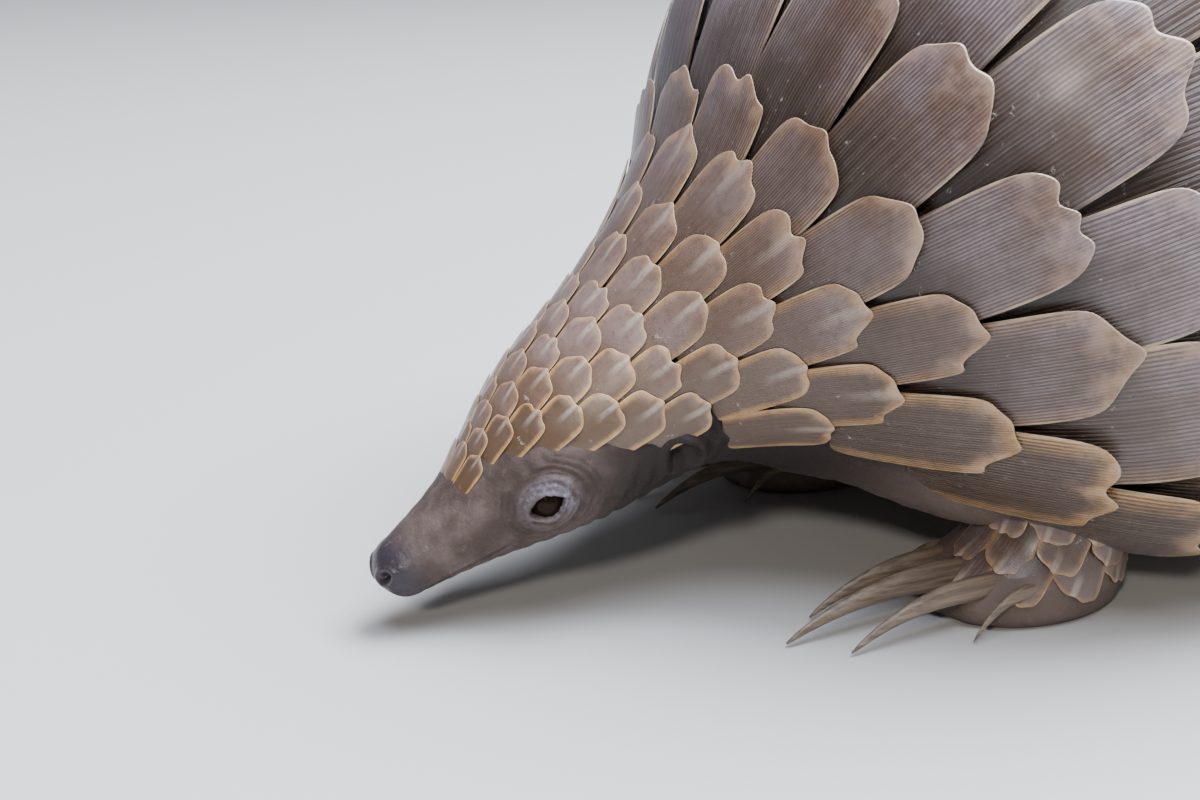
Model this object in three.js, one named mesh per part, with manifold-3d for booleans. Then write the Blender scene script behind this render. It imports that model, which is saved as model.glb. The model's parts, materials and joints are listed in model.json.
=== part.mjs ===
// A ground pangolin at life size, foraging with its nose to the ground, as a still museum model.
// Millimetres, +Z up. The nose points to -X, the tail to +X, and the left side is at -Y.
// The origin is on the floor, in the middle of the animal's length and width.
import * as THREE from "three";
import { mergeVertices } from "three/addons/utils/BufferGeometryUtils.js";
import Module from "manifold-3d";

const wasm = await Module();
wasm.setup();
const { Manifold, Mesh } = wasm;

// Driving sizes, in millimetres and degrees
const GAP = 0.3; // kept between pieces that touch
const CUT_GAP = 0.36; // by which a scale's outline grows where a neighbour is cut clear of it
const NOSE_CAP = 8; // how far the rounded ends reach past the first and the last section
const TAIL_CAP = 12;
const TRUNK_STEP_DEG = 24; // from one scale to the next round the trunk
const TRUNK_RING_SHARE = 0.72; // from ring to ring, as a share of a scale's width
const TAIL_STEP_DEG = 40;
const TAIL_RING_SPACING = [38, 25]; // at the root of the tail and at its tip
const TRUNK_REACH = [1.05, 11.8]; // places of the first and the last ring along the sections
const TAIL_REACH = [12.05, 16.8];
const SEED = 7;

// Sections across the line of the spine, from the nose to the tip of the tail: place along X, height of the
// centre, half width, height above the centre, depth below it, and how square the lower half is
const SECTIONS = [
  { name: "nose", x: -352, z: 17, wide: 9, up: 7, down: 8, square: 2 },
  { name: "snout", x: -336, z: 25, wide: 14.5, up: 12, down: 11, square: 2 },
  { name: "eyes", x: -314, z: 37, wide: 24.5, up: 24, down: 17, square: 2 },
  { name: "crown", x: -286, z: 54, wide: 32.5, up: 32, down: 25, square: 2 },
  { name: "nape", x: -264, z: 65.5, wide: 49, up: 42, down: 48, square: 2.3 },
  { name: "neck", x: -242, z: 75, wide: 73, up: 60, down: 71, square: 2.8 },
  { name: "withers", x: -216, z: 87, wide: 92, up: 84, down: 86, square: 3.2 },
  { name: "shoulders", x: -171, z: 99, wide: 102.5, up: 101, down: 92, square: 3.3 },
  { name: "chest", x: -109, z: 106, wide: 109, up: 108, down: 96, square: 3.2 },
  { name: "back", x: -35, z: 113, wide: 111, up: 110, down: 95, square: 3 },
  { name: "loins", x: 40, z: 117, wide: 106, up: 105, down: 88, square: 2.7 },
  { name: "hips", x: 110, z: 110, wide: 96, up: 90, down: 74, square: 2.4 },
  { name: "tail root", x: 170, z: 94, wide: 81, up: 66, down: 54, square: 2.1 },
  { name: "tail", x: 240, z: 74, wide: 70, up: 45, down: 40, square: 2 },
  { name: "tail middle", x: 325, z: 56, wide: 60, up: 31, down: 28, square: 2 },
  { name: "tail end", x: 410, z: 43, wide: 46, up: 21, down: 19, square: 2 },
  { name: "tail point", x: 480, z: 35, wide: 28, up: 12, down: 12, square: 2 },
  { name: "tail tip", x: 505, z: 33, wide: 16, up: 7, down: 7, square: 2 },
];
const LAST = SECTIONS.length - 1;

// How far round the body the middles of the scales reach, in degrees from the middle of the back, and how
// much of its depth the bare belly is drawn in, each at a place along the sections
const SCALE_REACH = [
  [1.4, 38], [1.8, 50], [1.95, 52], [2.05, 62], [2.28, 73], [2.5, 86], [2.8, 88], [3, 109],
  [3.35, 110], [4, 124], [5, 138], [11, 140], [12, 156], [13, 180],
];
const BELLY_DRAWN_IN = [[3.6, 0], [5, 0.22], [6, 0.27], [8, 0.25], [11, 0.2], [12.5, 0]];
const BELLY_EDGE_DEG = [139, 157];

// A scale, as shares of its width across, with its places along in ring spacings
const SCALE = {
  root: { along: -0.1, lift: 0 },
  broad: { along: 1.05, half: 0.478, lift: 0.05 },
  tip: { along: 2.14, lift: 0.1 },
  depth: 0.24,
  leastDepth: 1.2, // in millimetres
};
const SCALE_VARIES = { wide: 0.02, long: 0.03, lift: 0.06 };
const CORNER_GROWTH = { along: 1.6, across: 1.2 }; // how much further the points of a grown scale move
const CORE_SINK = 0.1; // how far the body lies below its outline under the scales, as a share of their width
const SINK_EDGE_DEG = [-4, 8]; // it starts to sink inside the edge of the scales
const FIRST_RING = 1; // the first ring that has scales
const DIVISION_LEAD = 0.36; // a division starts this share of a ring ahead of its first scales
const TAIL_BASE_RINGS = 5;
const HEAD_END = 3.3; // the head's scales end here along the sections, and those of the neck further on
const NECK_END = 5.6;

// The face. A lid or an opening has its half sizes along the head, across it and out of it.
const EYE = { t: 1.64, deg: 83, radius: 4.5, sunk: 2.5 };
const LID = { size: [8.2, 6.4, 3.3], out: -0.6 };
const EYE_OPENING = { size: [4.4, 2.9, 4.5], out: 1 };
const EAR = { t: 2.66, deg: 107, radius: 5.2, fold: 1.9, sweepDeg: 105, endShare: 0.55 };
const EAR_SECTION = { wide: 0.7, high: 1.35, out: 0.35 }; // as shares of the fold
const EAR_HOLE = { size: [2.6, 3.4, 5], out: 0.5 };
const NOSTRIL = { t: -0.62, deg: 62, size: [2.6, 1.3, 1.7] };
const MOUTH = { back: 1.15, front: -0.42, backDeg: 112, frontDeg: 142, chinShare: 0.35 };
const LIP = { half: 1.25, high: 0.35, deep: 1.5 };
const SLIT = { half: 0.35, high: 2, deep: 1.2 };

// Small helpers
const radians = (degrees) => (degrees * Math.PI) / 180;
const lerp = (a, b, f) => a + (b - a) * f;
const clamp = (v, low, high) => Math.min(high, Math.max(low, v));
const smooth = (low, high, v) => THREE.MathUtils.smoothstep(v, low, high);
const vector = (x, y, z) => new THREE.Vector3(x, y, z);
const round = (count, make) => Array.from({ length: count }, (_, k) => make((k / count) * Math.PI * 2));

function ramp(table, at) {
  const next = table.findIndex(([place]) => place >= at);
  if (next === 0) return table[0][1];
  if (next < 0) return table[table.length - 1][1];
  const [p0, v0] = table[next - 1];
  const [p1, v1] = table[next];
  return lerp(v0, v1, (at - p0) / (p1 - p0));
}

function randomFrom(seed) {
  let state = seed;
  return () => {
    state = (state + 0x6d2b79f5) | 0;
    let mixed = Math.imul(state ^ (state >>> 15), 1 | state);
    mixed = (mixed + Math.imul(mixed ^ (mixed >>> 7), 61 | mixed)) ^ mixed;
    return ((mixed ^ (mixed >>> 14)) >>> 0) / 2 ** 32;
  };
}
const random = randomFrom(SEED);
const vary = (amount) => 1 + (random() * 2 - 1) * amount;

// The body's outline
// A smooth value through the sections, by a Catmull-Rom spline
function through(key, t) {
  const i = clamp(Math.floor(t), 0, LAST - 1);
  const f = clamp(t, 0, LAST) - i;
  const [a, b, c, d] = [-1, 0, 1, 2].map((k) => SECTIONS[clamp(i + k, 0, LAST)][key]);
  const square = (2 * a - 5 * b + 4 * c - d) * f * f;
  const cube = (3 * b - a - 3 * c + d) * f * f * f;
  return 0.5 * (2 * b + (c - a) * f + square + cube);
}

// The outline at t along the sections and an angle round it: 0 is the middle of the back, and the left side
// is positive. Past either end t runs over a rounded cap, one unit long.
function skin(t, angle) {
  const place = clamp(t, 0, LAST);
  const step = 1e-3;
  const [t0, t1] = [clamp(place - step, 0, LAST), clamp(place + step, 0, LAST)];
  const [dx, dz] = ["x", "z"].map((key) => through(key, t1) - through(key, t0));
  const along = vector(dx, 0, dz).normalize();
  const over = clamp(Math.abs(t - place), 0, 1) * Math.PI * 0.5;
  const reach = (t < 0 ? -NOSE_CAP : TAIL_CAP) * Math.sin(over);
  const shrink = Math.cos(over);
  const [c, s] = [Math.cos(angle), Math.sin(angle)];
  const power = c < 0 ? through("square", place) : 2;
  const fill = shrink / Math.pow(Math.abs(c) ** power + Math.abs(s) ** power, 1 / power);
  const degrees = Math.abs(THREE.MathUtils.radToDeg(Math.atan2(s, c)));
  const drawnIn = 1 - ramp(BELLY_DRAWN_IN, place) * smooth(...BELLY_EDGE_DEG, degrees);
  const height = through(c > 0 ? "up" : "down", place) * c * fill * drawnIn;
  return vector(
    through("x", place) + along.x * reach - along.z * height,
    -through("wide", place) * s * fill,
    through("z", place) + along.z * reach + along.x * height,
  );
}

// The directions at a point of the outline: towards the tail, round the body, and out of it
function directions(t, angle) {
  const step = 4e-3;
  const along = skin(t + step, angle).sub(skin(t - step, angle)).normalize();
  const around = skin(t, angle + step).sub(skin(t, angle - step)).normalize();
  const out = around.clone().cross(along).normalize();
  return { along, across: out.clone().cross(along).normalize(), out };
}

function raised(t, angle, height) {
  return skin(t, angle).addScaledVector(directions(t, angle).out, height);
}

const girth = (t) => Math.PI * (through("wide", t) + (through("up", t) + through("down", t)) / 2);

function distance(t0, t1) {
  return Math.hypot(through("x", t1) - through("x", t0), through("z", t1) - through("z", t0));
}

// Solids
function solidFrom(geometry) {
  const bare = geometry.clone();
  bare.deleteAttribute("normal");
  bare.deleteAttribute("uv");
  const merged = mergeVertices(bare, 1e-4);
  const triVerts = new Uint32Array(merged.index.array);
  return new Manifold(new Mesh({ numProp: 3, vertProperties: merged.attributes.position.array, triVerts }));
}

// A solid from points and triangles, turned right side out
function solidOf(points, triangles) {
  const make = (list) => {
    const geometry = new THREE.BufferGeometry().setFromPoints(points);
    geometry.setIndex(list);
    return solidFrom(geometry);
  };
  const made = make(triangles);
  if (made.volume() > 0) return made;
  const turned = [];
  for (let k = 0; k < triangles.length; k += 3) {
    turned.push(triangles[k], triangles[k + 2], triangles[k + 1]);
  }
  return make(turned);
}

// A closed tube through rings of points, with a fan over each end
function tube(rings) {
  const count = rings[0].length;
  const middle = (ring) => ring.reduce((sum, p) => sum.add(p), vector(0, 0, 0)).divideScalar(count);
  const points = [...rings.flat(), middle(rings[0]), middle(rings[rings.length - 1])];
  const last = (rings.length - 1) * count;
  const triangles = [];
  for (let k = 0; k < count; k++) {
    const next = (k + 1) % count;
    for (let i = 0; i + 1 < rings.length; i++) {
      const [a, b] = [i * count + k, i * count + next];
      triangles.push(a, b, b + count, a, b + count, a + count);
    }
    triangles.push(points.length - 2, next, k, points.length - 1, last + k, last + next);
  }
  return solidOf(points, triangles);
}

// A ball stretched along three directions
function ball(centre, axes, radii, segments) {
  const geometry = new THREE.SphereGeometry(1, ...segments);
  const [x, y, z] = axes.map((axis, i) => axis.clone().multiplyScalar(radii[i]));
  geometry.applyMatrix4(new THREE.Matrix4().makeBasis(x, y, z).setPosition(centre));
  const made = solidFrom(geometry);
  return made.volume() > 0 ? made : solidFrom(insideOut(geometry));
}

function insideOut(geometry) {
  const index = [...geometry.index.array];
  for (let k = 0; k < index.length; k += 3) [index[k + 1], index[k + 2]] = [index[k + 2], index[k + 1]];
  const turned = geometry.clone();
  turned.setIndex(index);
  return turned;
}

const union = (solids) => Manifold.union(solids);

// The largest closed surface of a solid
function largest(solid) {
  return solid.decompose().reduce((best, body) => (body.volume() > best.volume() ? body : best));
}

// Rings of scales
// A coat is a run of rings. spacing gives the way from one ring to the next, and width that across a scale.
function coat({ reach: [start, end], stepDeg, spacing }) {
  const width = (t) => (girth(t) * stepDeg) / 360;
  const step = 5e-3;
  const places = [];
  for (let t = start; t < end; ) {
    places.push(t);
    for (let left = spacing(t, width(t)); left > 0 && t < LAST; t += step) left -= distance(t, t + step);
  }
  const at = (ring) => {
    const i = clamp(Math.floor(ring), 0, places.length - 2);
    return lerp(places[i], places[i + 1], ring - i);
  };
  return { places, at, width, stepDeg };
}

const TRUNK = coat({
  reach: TRUNK_REACH,
  stepDeg: TRUNK_STEP_DEG,
  spacing: (t, width) => width * TRUNK_RING_SHARE,
});
const TAIL = coat({
  reach: TAIL_REACH,
  stepDeg: TAIL_STEP_DEG,
  spacing: (t) => lerp(...TAIL_RING_SPACING, (t - TAIL_REACH[0]) / (LAST - TAIL_REACH[0])),
});

// The closed solid of one scale: a pointed plate folded a little along its keel, whose root and underside are
// sunk in the body. grow makes the same scale larger all round.
function plate({ coat: family, ring, turn, looks }, grow = 0) {
  const width = family.width(family.at(ring));
  const { root, broad, tip, depth, leastDepth } = SCALE;
  const point = (row, side) => {
    const t = family.at(ring + row.along * looks.long);
    const angle = radians((turn + side * broad.half * looks.wide) * family.stepDeg);
    return raised(t, angle, row.lift * width * looks.lift);
  };
  const [top, left, end, right] = [point(root, 0), point(broad, -1), point(tip, 0), point(broad, 1)];
  const { out } = directions(family.at(ring + 1), radians(turn * family.stepDeg));
  const along = end.clone().sub(top).normalize();
  const across = right.clone().sub(left).normalize();
  top.addScaledVector(along, -grow);
  end.addScaledVector(along, grow * CORNER_GROWTH.along);
  left.addScaledVector(across, -grow * CORNER_GROWTH.across);
  right.addScaledVector(across, grow * CORNER_GROWTH.across);
  const outline = [top, left, end, right].map((p) => p.addScaledVector(out, grow));
  const drop = -(depth * width + leastDepth + 2 * grow);
  const below = outline.map((p) => p.clone().addScaledVector(out, drop));
  const triangles = [0, 1, 2, 0, 2, 3, 4, 6, 5, 4, 7, 6];
  for (let k = 0; k < 4; k++) {
    const next = (k + 1) % 4;
    triangles.push(k, k + 4, next, next, k + 4, next + 4);
  }
  return solidOf([...outline, ...below], triangles);
}

// Every scale of a coat: even rings have one on the middle of the back, and odd rings sit half a step over
function scalesOf(family, firstRing) {
  const around = Math.floor(180 / family.stepDeg);
  const scales = [];
  for (let ring = firstRing; ring < family.places.length; ring++) {
    const reach = ramp(SCALE_REACH, family.places[ring]) + 1e-6;
    for (let k = -around - 1; k <= around; k++) {
      const turn = k + (ring % 2) * 0.5;
      const degrees = turn * family.stepDeg;
      if (Math.abs(degrees) > reach || degrees <= -180) continue;
      const [wide, long, lift] = [SCALE_VARIES.wide, SCALE_VARIES.long, SCALE_VARIES.lift].map(vary);
      scales.push({ coat: family, ring, turn, looks: { wide, long, lift } });
    }
  }
  return scales;
}
const SCALES = [...scalesOf(TRUNK, FIRST_RING), ...scalesOf(TAIL, 0)];

// How far the body lies below its outline, to leave room for the scales
function sunkBelowScales(t, degrees) {
  const family = t < TAIL_REACH[0] ? TRUNK : TAIL;
  const covered = smooth(TRUNK.places[FIRST_RING], TRUNK.places[FIRST_RING + 4], t);
  const inside = smooth(...SINK_EDGE_DEG, ramp(SCALE_REACH, t) - degrees);
  return covered * inside * CORE_SINK * family.width(t);
}

// The bare body between two places
function core(from, to, spacing, segments, grow = 0) {
  const count = Math.max(2, Math.ceil((to - from) / spacing));
  const ringAt = (t) => round(segments, (angle) => {
    const degrees = 180 - Math.abs(180 - THREE.MathUtils.radToDeg(angle));
    return raised(t, angle, grow - sunkBelowScales(t, degrees));
  });
  return tube(Array.from({ length: count + 1 }, (_, i) => ringAt(lerp(from, to, i / count))));
}

// The divisions of the body, each with the spacing of its rings of points and how many points a ring has
const startOf = (family, ring) => family.at(ring - DIVISION_LEAD);
const NECK_START = startOf(TRUNK, TRUNK.places.findIndex((t) => t > HEAD_END));
const TORSO_START = startOf(TRUNK, TRUNK.places.findIndex((t) => t > NECK_END));
const TAIL_START = startOf(TAIL, 0);
const TIP_START = startOf(TAIL, TAIL_BASE_RINGS);
const DIVISIONS = [
  { name: "head", family: TRUNK, from: -0.985, to: NECK_START, spacing: 0.3, segments: 24 },
  { name: "neck", family: TRUNK, from: NECK_START, to: TORSO_START, spacing: 0.6, segments: 24 },
  { name: "torso", family: TRUNK, from: TORSO_START, to: TAIL_START, spacing: 0.75, segments: 24 },
  { name: "tail_base", family: TAIL, from: TAIL_START, to: TIP_START, spacing: 0.7, segments: 14 },
  { name: "tail_tip", family: TAIL, from: TIP_START, to: LAST + 0.97, spacing: 0.5, segments: 14 },
];

function scalesIn({ family, from, to }) {
  const inside = ({ ring }) => family.places[ring] >= from && family.places[ring] < to;
  return SCALES.filter((scale) => scale.coat === family && inside(scale));
}

// A division with its scales
function divisionSolid(part, grow = 0) {
  const { from, to, spacing, segments } = part;
  const room = (t) => (GAP / 2 - grow) / distance(t - 0.5, t + 0.5);
  const start = from < 0 ? from : from + room(from);
  const end = to > LAST ? to : to - room(to);
  const scales = scalesIn(part).map((scale) => plate(scale, grow ? CUT_GAP : 0));
  return union([core(start, end, spacing, segments, grow), ...scales]);
}

// The scales of a division that lie over the front of the next one, which is cut clear of them
function overhang(part) {
  const scales = scalesIn(part);
  const last = Math.max(...scales.map(({ ring }) => ring));
  return union(scales.filter(({ ring }) => ring >= last - 1).map((scale) => plate(scale, CUT_GAP)));
}

const solids = {};
DIVISIONS.forEach((part, i) => {
  const made = divisionSolid(part);
  solids[part.name] = i ? made.subtract(overhang(DIVISIONS[i - 1])) : made;
});

// The head's face
const sides = [{ name: "left", sign: 1 }, { name: "right", sign: -1 }];

// The place on the outline of something on the head, and its axes: along, across and out
function onHead({ t, deg }, sign) {
  const angle = radians(deg) * sign;
  const { along, across, out } = directions(t, angle);
  return { at: (height) => raised(t, angle, height), axes: [along, across, out] };
}

// A place f along the mouth, from -1 at its right corner, through 0 under the chin, to 1 at the left one
function mouthPlace(f) {
  const { back, front, backDeg, frontDeg, chinShare } = MOUTH;
  const away = Math.abs(f);
  const alongJaw = Math.max(0, (away - chinShare) / (1 - chinShare));
  const degrees = lerp(180, lerp(frontDeg, backDeg, alongJaw), Math.min(1, away / chinShare));
  const [t, angle] = [lerp(front, back, alongJaw), radians(degrees) * (Math.sign(f) || 1)];
  return { point: skin(t, angle), out: directions(t, angle).out };
}

// A band that follows the mouth. It is 2 * half wide, stands high over the skin and reaches deep below it.
function mouthBand({ half, high, deep }) {
  const steps = 10;
  const places = Array.from({ length: steps + 1 }, (_, i) => mouthPlace((i / steps) * 2 - 1));
  return tube(places.map(({ point, out }, i) => {
    const before = places[Math.max(0, i - 1)].point;
    const after = places[Math.min(steps, i + 1)].point;
    const over = out.clone().cross(after.clone().sub(before)).normalize().multiplyScalar(half);
    const top = point.clone().addScaledVector(out, high);
    const under = point.clone().addScaledVector(out, -deep);
    return [top.clone().add(over), top.sub(over), under.clone().sub(over), under.add(over)];
  }));
}

// The low fold of skin round the back of the ear's opening
function earFold(centre, [along, across, out]) {
  const { radius, fold, sweepDeg, endShare } = EAR;
  const steps = 6;
  return tube(Array.from({ length: steps + 1 }, (_, i) => {
    const turn = radians(lerp(-sweepDeg, sweepDeg, i / steps));
    const way = along.clone().multiplyScalar(Math.cos(turn)).addScaledVector(across, Math.sin(turn));
    const size = fold * lerp(endShare, 1, Math.cos(turn * 0.8));
    const middle = centre.clone().addScaledVector(way, radius).addScaledVector(out, size * EAR_SECTION.out);
    return round(6, (a) => middle.clone()
      .addScaledVector(way, Math.cos(a) * size * EAR_SECTION.wide)
      .addScaledVector(out, Math.sin(a) * size * EAR_SECTION.high));
  }));
}

const headRoom = divisionSolid(DIVISIONS[0], GAP); // what an ear is cut clear of
sides.forEach(({ name, sign }) => {
  const eye = onHead(EYE, sign);
  const eyeball = (grow) => ball(eye.at(-EYE.sunk), eye.axes, Array(3).fill(EYE.radius + grow), [10, 7]);
  const lid = ball(eye.at(LID.out), eye.axes, LID.size, [12, 6]);
  const opening = ball(eye.at(EYE_OPENING.out), eye.axes, EYE_OPENING.size, [10, 6]);
  solids.head = solids.head.add(lid).subtract(opening).subtract(eyeball(GAP));
  solids[`eye_${name}`] = eyeball(0);

  const nostril = onHead(NOSTRIL, sign);
  solids.head = solids.head.subtract(ball(nostril.at(0), nostril.axes, NOSTRIL.size, [7, 4]));

  const ear = onHead(EAR, sign);
  solids.head = solids.head.subtract(ball(ear.at(EAR_HOLE.out), ear.axes, EAR_HOLE.size, [7, 4]));
  solids[`ear_${name}`] = earFold(ear.at(0), ear.axes).subtract(headRoom);
});
solids.head = solids.head.add(mouthBand(LIP)).subtract(mouthBand(SLIT));

// Legs and feet
// Level sections from the top down: place along X, distance from the middle, height, and half sizes
const LEGS = {
  foreleg: [
    { x: -176, y: 47, z: 62, along: 30, across: 21 },
    { x: -184, y: 49, z: 44, along: 26, across: 20 },
    { x: -194, y: 50, z: 30, along: 22, across: 19 },
    { x: -200, y: 50, z: 18 + GAP, along: 20, across: 18 },
  ],
  hindleg: [
    { x: 64, y: 50, z: 98, along: 44, across: 27 },
    { x: 70, y: 54, z: 70, along: 38, across: 27 },
    { x: 78, y: 57, z: 45, along: 30, across: 25 },
    { x: 84, y: 58, z: 28, along: 26, across: 22 },
    { x: 86, y: 58, z: 16 + GAP, along: 26, across: 21 },
  ],
};
const FEET = {
  forefoot: [
    { x: -200, y: 50, z: 18, along: 20, across: 18 },
    { x: -206, y: 50, z: 10, along: 26, across: 20 },
    { x: -208, y: 50, z: 3, along: 27, across: 20 },
    { x: -208, y: 50, z: 0, along: 24, across: 17.5 },
  ],
  hindfoot: [
    { x: 86, y: 58, z: 16, along: 26, across: 21 },
    { x: 82, y: 58, z: 10, along: 31, across: 24 },
    { x: 81, y: 58, z: 3, along: 32, across: 24 },
    { x: 81, y: 58, z: 0, along: 29, across: 21 },
  ],
};
const LEG_SEGMENTS = 14;

// A claw's place across the foot, its length and its half height at the root. The first is the inner one.
const CLAWS = {
  forefoot: [
    { across: -15, long: 15, thick: 2.6 },
    { across: -9, long: 34, thick: 4.2 },
    { across: 0, long: 44, thick: 4.8 },
    { across: 9.5, long: 36, thick: 4.2 },
    { across: 16, long: 14, thick: 2.6 },
  ],
  hindfoot: [
    { across: -18, long: 10, thick: 3.2 },
    { across: -10, long: 13, thick: 4 },
    { across: 0, long: 14, thick: 4.2 },
    { across: 10, long: 13, thick: 4 },
    { across: 18, long: 10, thick: 3.2 },
  ],
};
// How the claws of a foot run: the heights of root and bend, how far they spread, how thick the tip stays as
// a share of the root, and how many pieces they are made of
const CLAW_FORM = {
  forefoot: { rootHigh: 8.5, bendHigh: 13, spread: 0.12, tipShare: 0.12, steps: 4 },
  hindfoot: { rootHigh: 8.5, bendHigh: 9.5, spread: 0.3, tipShare: 0.5, steps: 2 },
};
const CLAW = { inset: 8, narrow: 0.72, taper: 1.3, tipOver: 0.6, segments: 6 };
const CLAW_BEND = { along: 0.55, spread: 0.6 };

function levelTube(levels, sign) {
  return tube(levels.map(({ x, y, z, along, across }) => round(LEG_SEGMENTS, (a) => (
    vector(x + along * Math.cos(a), -sign * (y + across * Math.sin(a)), z)
  ))));
}

// A claw bends forward and down from inside its toe to a tip just over the floor
function claw(foot, { across, long, thick }, sign, grow = 0) {
  const { rootHigh, bendHigh, spread, tipShare, steps } = CLAW_FORM[foot];
  const { x, y, along: footLong, across: footWide } = FEET[foot][1];
  const rootX = x - footLong * Math.sqrt(1 - (across / footWide) ** 2) + CLAW.inset;
  const reach = long + CLAW.inset;
  const at = (share, spreadShare, z) => (
    vector(rootX - reach * share, -sign * (y + across * (1 + spread * spreadShare)), z)
  );
  const tipHigh = thick * tipShare + CLAW.tipOver;
  const bend = at(CLAW_BEND.along, CLAW_BEND.spread, bendHigh);
  const curve = new THREE.QuadraticBezierCurve3(at(0, 0, rootHigh), bend, at(1, 1, tipHigh));
  return tube(Array.from({ length: steps + 1 }, (_, i) => {
    const f = i / steps;
    const way = curve.getTangent(f);
    const centre = curve.getPoint(f).addScaledVector(way, i ? 0 : -grow);
    const side = vector(0, 1, 0).addScaledVector(way, -way.y).normalize();
    const up = way.clone().cross(side).normalize();
    const half = thick * lerp(1, tipShare, f ** CLAW.taper) + grow;
    return round(CLAW.segments, (a) => centre.clone()
      .addScaledVector(up, Math.cos(a + Math.PI / CLAW.segments) * half)
      .addScaledVector(side, Math.sin(a + Math.PI / CLAW.segments) * half * CLAW.narrow));
  }));
}

const [neck, torso] = DIVISIONS.slice(1, 3).map((part) => divisionSolid(part, GAP));
const bodyAbove = { foreleg: union([neck, torso]), hindleg: torso };
sides.forEach(({ name, sign }) => {
  [["foreleg", "forefoot"], ["hindleg", "hindfoot"]].forEach(([leg, foot]) => {
    solids[`${leg}_${name}`] = levelTube(LEGS[leg], sign).subtract(bodyAbove[leg]);
    const sockets = CLAWS[foot].map((spec) => claw(foot, spec, sign, GAP));
    solids[`${foot}_${name}`] = levelTube(FEET[foot], sign).subtract(union([bodyAbove[leg], ...sockets]));
    CLAWS[foot].forEach((spec, i) => {
      solids[`${foot}_${name}_claw_${i + 1}`] = claw(foot, spec, sign);
    });
  });
});

// Finishes
const finish = (color, roughness) => new THREE.MeshStandardMaterial({ color, roughness, metalness: 0 });
const HORN = finish(0x6a5646, 0.45);
const SKIN = finish(0x4a3c36, 0.8);
const CLAW_HORN = finish(0x8d7a62, 0.4);
const EYE_DARK = finish(0x0b0908, 0.08);
function finishOf(name) {
  if (name.startsWith("eye")) return EYE_DARK;
  if (name.includes("claw")) return CLAW_HORN;
  return /^(ear|fore|hind)/.test(name) ? SKIN : HORN;
}

const SIMPLIFY = 0.06; // by which a face may move where tiny ones are merged

function meshOf(name, solid) {
  const kept = largest(largest(solid).simplify(SIMPLIFY));
  const { numProp, vertProperties, triVerts } = kept.getMesh();
  const positions = new Float32Array((vertProperties.length / numProp) * 3);
  for (let i = 0; i * 3 < positions.length; i++) {
    positions.set(vertProperties.subarray(i * numProp, i * numProp + 3), i * 3);
  }
  const geometry = new THREE.BufferGeometry();
  geometry.setAttribute("position", new THREE.BufferAttribute(positions, 3));
  geometry.setIndex(new THREE.BufferAttribute(triVerts, 1));
  const mesh = new THREE.Mesh(geometry, finishOf(name));
  mesh.name = name;
  return mesh;
}

const pangolin = new THREE.Group();
Object.entries(solids).forEach(([name, solid]) => pangolin.add(meshOf(name, solid)));
const bounds = new THREE.Box3().setFromObject(pangolin);
const middle = bounds.getCenter(vector(0, 0, 0));
pangolin.position.set(-middle.x, -middle.y, -bounds.min.z);
pangolin.updateMatrixWorld(true);

export default pangolin;
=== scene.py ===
# %% [markdown]
# # A ground pangolin, foraging
#
# The animal is seen from ahead of its left shoulder, with its nose to the ground. The script loads the packed
# solids as a fixed frame, lays one continuous skin inside them, and covers it with overlapping horn scales.
# Lengths are worked out in millimetres along the animal's spine, and turned into metres when a mesh is made.

# %% Load the frame
import json
import math

import bmesh
import bpy
import numpy as np
from mathutils import Matrix, Vector

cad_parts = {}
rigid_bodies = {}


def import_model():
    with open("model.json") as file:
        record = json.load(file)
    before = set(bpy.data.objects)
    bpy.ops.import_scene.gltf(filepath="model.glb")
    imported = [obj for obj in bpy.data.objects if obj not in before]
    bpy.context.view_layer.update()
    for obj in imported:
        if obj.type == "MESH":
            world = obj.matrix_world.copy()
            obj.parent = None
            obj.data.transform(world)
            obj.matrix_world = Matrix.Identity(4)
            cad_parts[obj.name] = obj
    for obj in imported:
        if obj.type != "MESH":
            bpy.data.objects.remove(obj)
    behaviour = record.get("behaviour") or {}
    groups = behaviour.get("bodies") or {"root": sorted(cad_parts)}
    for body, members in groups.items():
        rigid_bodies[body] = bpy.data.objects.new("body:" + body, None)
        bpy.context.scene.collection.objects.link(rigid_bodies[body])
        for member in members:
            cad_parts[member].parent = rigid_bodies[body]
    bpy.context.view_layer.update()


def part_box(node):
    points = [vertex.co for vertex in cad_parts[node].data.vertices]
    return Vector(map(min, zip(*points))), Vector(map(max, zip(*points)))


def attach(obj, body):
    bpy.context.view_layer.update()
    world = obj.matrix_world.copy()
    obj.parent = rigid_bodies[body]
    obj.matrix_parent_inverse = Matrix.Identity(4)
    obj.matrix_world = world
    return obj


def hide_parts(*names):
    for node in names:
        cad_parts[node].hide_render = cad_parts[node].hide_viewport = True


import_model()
SIDES = {"left": 1, "right": -1}  # the sign that each side's angles round the body have

# %% [markdown]
# ## The line of the body
#
# A pangolin's body is a long, changing oval swept along its spine. It could be sculpted by hand, but a
# table of sections is easier to keep equal to the solids: the same sections, joined by the same smooth
# spline, give a surface on which a place along the body and an angle round it name every point. Skin,
# scales, eyes and ears are then all placed by these two numbers.

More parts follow.
